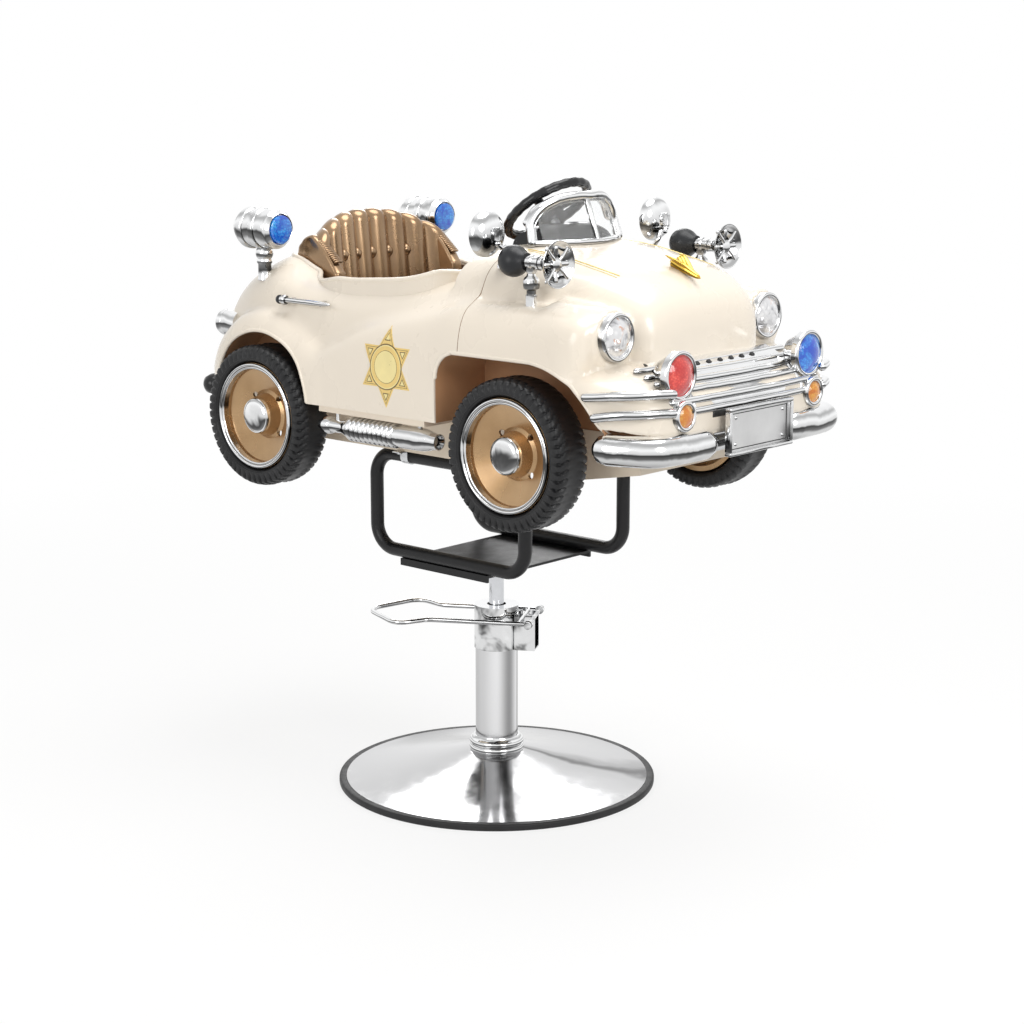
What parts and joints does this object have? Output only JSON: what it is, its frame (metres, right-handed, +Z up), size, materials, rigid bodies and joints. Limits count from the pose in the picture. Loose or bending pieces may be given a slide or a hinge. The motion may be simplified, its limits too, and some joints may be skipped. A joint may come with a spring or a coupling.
{
  "type": "kids car barber chair",
  "caption": "Child's salon chair: old-timer toy car body on a tube frame over a foot-pumped hydraulic column and round base.",
  "frame": {"origin": "on the floor under the column's centre", "axes": "+Z up along the column; the car faces -Y and its right side is -X"},
  "size_m": [0.6, 1.204, 1.1459],
  "materials": {
    "chrome": "polished chrome plate",
    "rod_chrome": "ground hard chrome",
    "rubber": "satin moulded rubber",
    "steel": "plain steel, oiled",
    "zinc": "zinc plated",
    "pump_iron": "painted casting",
    "black_steel": "satin black powder coat",
    "pan_plastic": "moulded tan plastic",
    "body_ivory": "glossy ivory paint",
    "seat_bronze": "metallic bronze moulding",
    "dash_black": "black, semi gloss",
    "bright_plastic": "bright plated plastic",
    "clear": "clear sheet",
    "plate_silver": "satin silver",
    "lens_clear": "clear fluted lens",
    "lens_red": "clear red lens",
    "lens_blue": "clear blue lens",
    "lens_amber": "clear amber lens",
    "gold_plastic": "gold plated plastic",
    "bulb_rubber": "satin soft rubber",
    "tyre": "blow moulded black tyre",
    "disc_gold": "metallic gold paint"
  },
  "bodies": {
    "stand": {"base_plate": "chrome", "base_rim": "rubber", "floor_plate": "steel", "base_bolts": "steel", "column_collar": "chrome", "column_cover": "chrome", "pump_cylinder": "pump_iron", "pump_head": "chrome", "pedal_bracket": "chrome"},
    "pedal": {"pump_pedal": "chrome"},
    "plunger": {"pump_plunger": "steel"},
    "lift": {"piston_rod": "rod_chrome"},
    "car": {"mounting_plate": "black_steel", "frame_loop_right": "black_steel", "frame_loop_left": "black_steel", "frame_straps": "zinc", "chassis_pan": "pan_plastic", "front_axle": "steel", "tub_shell": "body_ivory", "front_shell": "body_ivory", "seat_back": "seat_bronze", "seat_cushion": "seat_bronze", "dashboard": "dash_black", "windshield_frame": "bright_plastic", "windshield_panes": "clear", "grille": "bright_plastic", "front_bumper": "bright_plastic", "licence_plate": "plate_silver", "lamp_bezels": "bright_plastic", "headlight_lenses": "lens_clear", "red_lens": "lens_red", "blue_lenses": "lens_blue", "amber_lenses": "lens_amber", "hood_ornament": "gold_plastic", "horn_trumpets": "bright_plastic", "horn_bulbs": "bulb_rubber", "spot_lamps": "bright_plastic", "exhaust_pipes": "bright_plastic", "door_handles": "bright_plastic", "tail_lamps": "bright_plastic", "rear_bumper": "dash_black", "mirror_arms": "bright_plastic"},
    "rear_wheels": {"rear_axle": "steel", "tyres_rear": "tyre", "discs_rear": "disc_gold", "trims_rear": "bright_plastic"},
    "steering": {"steering_wheel": "dash_black", "steering_shaft": "steel"},
    "horn_push": {"horn_button": "bright_plastic"},
    "link": {"tie_rod": "steel"},
    "steer_right": {"knuckle_right": "steel"},
    "steer_left": {"knuckle_left": "steel"},
    "wheel_right": {"tyre_front_right": "tyre", "disc_front_right": "disc_gold", "trim_front_right": "bright_plastic"},
    "wheel_left": {"tyre_front_left": "tyre", "disc_front_left": "disc_gold", "trim_front_left": "bright_plastic"},
    "mirror_head_right": {"mirror_right": "bright_plastic"},
    "mirror_head_left": {"mirror_left": "bright_plastic"}
  },
  "joints": [
    {"name": "lift_slide", "type": "slide", "parent": "stand", "child": "lift", "axis": [0, 0, 1], "range_m": [-0.045, 0.105]},
    {"name": "swivel", "type": "hinge", "parent": "lift", "child": "car", "pos_m": [0, 0, 0.42], "axis": [0, 0, 1], "continuous": true},
    {"name": "pedal_press", "type": "hinge", "parent": "stand", "child": "pedal", "pos_m": [0.03708, -0.06172, 0.321], "axis": [-0.8572, -0.515, 0], "range_deg": [0, 15], "stiffness_Nm_per_rad": 2, "springref_deg": -45.84},
    {"name": "plunger_slide", "type": "slide", "parent": "stand", "child": "plunger", "axis": [0, 0, -1], "range_m": [0, 0.0055]},
    {"name": "rear_wheel_spin", "type": "hinge", "parent": "car", "child": "rear_wheels", "pos_m": [0, 0.336, 0.69995], "axis": [1, 0, 0], "continuous": true},
    {"name": "steer", "type": "hinge", "parent": "car", "child": "steering", "pos_m": [0, -0.12401, 1.0874], "axis": [0, 0.6266, 0.7793], "range_deg": [-36, 36]},
    {"name": "horn_press", "type": "slide", "parent": "steering", "child": "horn_push", "axis": [0, -0.6266, -0.7793], "range_m": [0, 0.004], "stiffness_N_per_m": 600, "springref_m": -0.002},
    {"name": "tie_rod_slide", "type": "slide", "parent": "car", "child": "link", "axis": [1, 0, 0], "range_m": [-0.0149, 0.0149]},
    {"name": "kingpin_right", "type": "hinge", "parent": "car", "child": "steer_right", "pos_m": [-0.19, -0.287, 0.69995], "axis": [0, 0, 1], "range_deg": [-18.1, 18.1]},
    {"name": "kingpin_left", "type": "hinge", "parent": "car", "child": "steer_left", "pos_m": [0.19, -0.287, 0.69995], "axis": [0, 0, 1], "range_deg": [-18.1, 18.1]},
    {"name": "wheel_right_spin", "type": "hinge", "parent": "steer_right", "child": "wheel_right", "pos_m": [-0.2625, -0.287, 0.69995], "axis": [1, 0, 0], "continuous": true},
    {"name": "wheel_left_spin", "type": "hinge", "parent": "steer_left", "child": "wheel_left", "pos_m": [0.2625, -0.287, 0.69995], "axis": [1, 0, 0], "continuous": true},
    {"name": "mirror_right_turn", "type": "hinge", "parent": "car", "child": "mirror_head_right", "pos_m": [-0.2271, -0.2119, 1.0601], "axis": [0, 0, 1], "range_deg": [-25, 25]},
    {"name": "mirror_left_turn", "type": "hinge", "parent": "car", "child": "mirror_head_left", "pos_m": [0.2271, -0.2119, 1.0601], "axis": [0, 0, 1], "range_deg": [-25, 25]}
  ],
  "couplings": [
    {"joint": "plunger_slide", "follows": "pedal_press", "m_per_rad": 0.02},
    {"joint": "tie_rod_slide", "follows": "steer", "m_per_rad": -0.0235},
    {"joint": "kingpin_right", "follows": "steer", "ratio": 0.5},
    {"joint": "kingpin_left", "follows": "steer", "ratio": 0.5}
  ]
}
